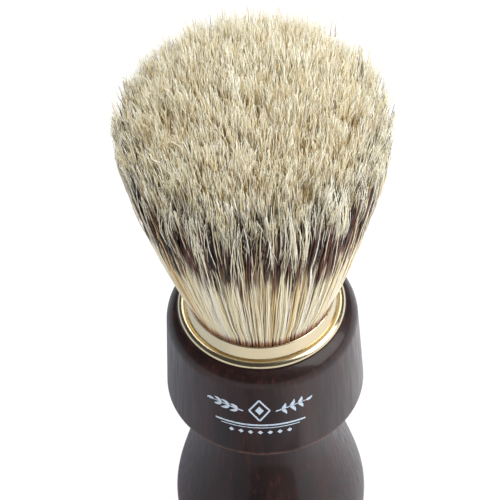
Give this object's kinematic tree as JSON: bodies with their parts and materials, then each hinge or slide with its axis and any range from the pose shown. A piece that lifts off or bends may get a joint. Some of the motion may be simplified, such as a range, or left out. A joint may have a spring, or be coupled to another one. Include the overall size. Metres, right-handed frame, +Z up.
{
  "type": "shaving brush",
  "caption": "Shaving brush with a flared natural-bristle tuft, a gold-coloured ferrule ring and a turned dark wood handle that stands on its flat base.",
  "frame": {"origin": "centre of the flat base that the brush stands on", "axes": "+Z up along the turned axis from the base to the bristle tips; the printed front of the handle faces -Y"},
  "size_m": [0.0424, 0.0424, 0.1198],
  "materials": {
    "handle_wood": "gloss",
    "ferrule_brass": "polished",
    "adhesive": "satin",
    "resin": "gloss",
    "thread": "matte",
    "bristle": "satin",
    "print_ink": "satin"
  },
  "bodies": {
    "handle": {"handle": "handle_wood", "ferrule": "ferrule_brass", "glue_bed": "adhesive", "knot_plug": "resin", "binding_thread": "thread", "bristle_roots": "bristle"},
    "tuft_lower": {"tuft_lower": "bristle"},
    "tuft_upper": {"tuft_upper": "bristle"}
  },
  "joints": [
    {"name": "tuft_bend_front_back", "type": "hinge", "parent": "handle", "child": "tuft_lower", "pos_m": [0, 0, 0.0675], "axis": [1, 0, 0], "range_deg": [-18, 18], "stiffness_Nm_per_rad": 0.15},
    {"name": "tuft_bend_sideways", "type": "hinge", "parent": "tuft_lower", "child": "tuft_upper", "pos_m": [0, 0, 0.084], "axis": [0, 1, 0], "range_deg": [-22, 22], "stiffness_Nm_per_rad": 0.1}
  ]
}
